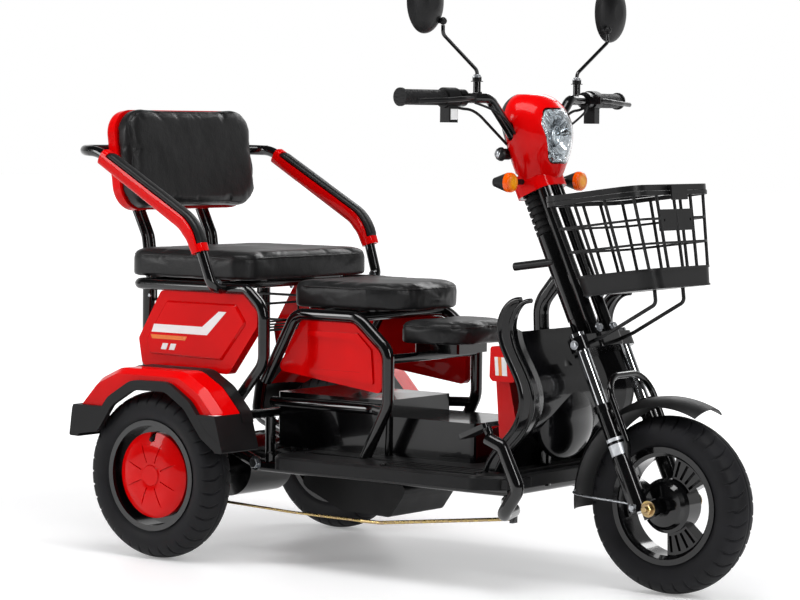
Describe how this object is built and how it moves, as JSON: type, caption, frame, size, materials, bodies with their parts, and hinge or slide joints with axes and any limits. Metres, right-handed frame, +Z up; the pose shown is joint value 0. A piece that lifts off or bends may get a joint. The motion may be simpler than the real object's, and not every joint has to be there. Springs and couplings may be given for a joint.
{
  "type": "electric leisure tricycle",
  "caption": "Electric leisure tricycle with tandem seats, side fenders, a lidded front basket and a raked telescopic fork.",
  "frame": {"origin": "middle of the machine's bounding box, on the ground it stands on", "axes": "+X forward, +Y to the rider's left, +Z up"},
  "size_m": [1.603, 0.8178, 1.2809],
  "materials": {
    "frame_black": "gloss black powder coat",
    "body_red": "gloss red moulding",
    "black_plastic": "satin black moulding",
    "shield_black": "gloss black moulding",
    "seat_cover": "black synthetic leather",
    "grip_rubber": "black rubber",
    "tyre_rubber": "black tread rubber",
    "bright_chrome": "chromed",
    "zinc_steel": "zinc plated",
    "wheel_steel": "gloss black",
    "lamp_clear": "clear lens",
    "lamp_reflector": "metallised reflector",
    "lamp_amber": "amber lens",
    "mirror_face": "silvered glass"
  },
  "bodies": {
    "frame": {"main_frame": "frame_black", "side_hoops": "frame_black", "seat_loops": "frame_black", "rear_side_panels": "body_red", "middle_side_panels": "body_red", "rear_fenders": "body_red", "fender_flares": "black_plastic", "footboard": "black_plastic", "leg_shield": "shield_black", "inner_panel": "body_red", "battery_box": "black_plastic", "underfloor_pan": "black_plastic", "rear_axle": "frame_black", "brake_rods": "zinc_steel", "brake_pedal": "frame_black", "parking_brake_handle": "frame_black", "seat_bases": "frame_black", "rear_seat_cushion": "seat_cover", "middle_seat_cushion": "seat_cover", "front_seat_cushion": "seat_cover", "backrest_cushion": "seat_cover", "backrest_shell": "body_red", "backrest_posts": "frame_black", "armrest_tube": "frame_black", "armrest_covers": "body_red", "armrest_pads": "seat_cover", "rear_wire_basket": "frame_black"},
    "fork": {"fork_crown": "frame_black", "column_tubes": "frame_black", "fork_stanchions": "bright_chrome", "fork_lowers": "frame_black", "front_fender": "black_plastic", "handlebar": "frame_black", "grips": "grip_rubber", "brake_levers": "frame_black", "control_housings": "black_plastic", "mirror_stems": "frame_black", "mirror_heads": "black_plastic", "mirror_glasses": "mirror_face", "headlamp_cowl": "body_red", "headlamp_lens": "lamp_clear", "headlamp_reflector": "lamp_reflector", "cowl_back_panel": "black_plastic", "indicator_pods": "black_plastic", "indicator_lenses": "lamp_amber", "steering_boot": "grip_rubber", "front_basket": "black_plastic", "basket_supports": "frame_black"},
    "lid": {"basket_lid": "black_plastic"},
    "wheel_front": {"front_tyre": "tyre_rubber", "front_wheel": "frame_black"},
    "wheel_rear_right": {"rear_tyre_right": "tyre_rubber", "rear_wheel_right": "wheel_steel", "hubcap_right": "body_red"},
    "wheel_rear_left": {"rear_tyre_left": "tyre_rubber", "rear_wheel_left": "wheel_steel", "hubcap_left": "body_red"}
  },
  "joints": [
    {"name": "steering", "type": "hinge", "parent": "frame", "child": "fork", "pos_m": [0.5535, 0, 0.185], "axis": [-0.4147, 0, 0.91], "range_deg": [-35, 35]},
    {"name": "basket_lid", "type": "hinge", "parent": "fork", "child": "lid", "pos_m": [0.37809, 0, 0.8106], "axis": [0, -1, 0], "range_deg": [0, 80]},
    {"name": "front_wheel", "type": "hinge", "parent": "fork", "child": "wheel_front", "pos_m": [0.6165, 0, 0.185], "axis": [0, 1, 0], "continuous": true},
    {"name": "rear_wheel_right", "type": "hinge", "parent": "frame", "child": "wheel_rear_right", "pos_m": [-0.5115, -0.318, 0.185], "axis": [0, 1, 0], "continuous": true},
    {"name": "rear_wheel_left", "type": "hinge", "parent": "frame", "child": "wheel_rear_left", "pos_m": [-0.5115, 0.318, 0.185], "axis": [0, 1, 0], "continuous": true}
  ]
}
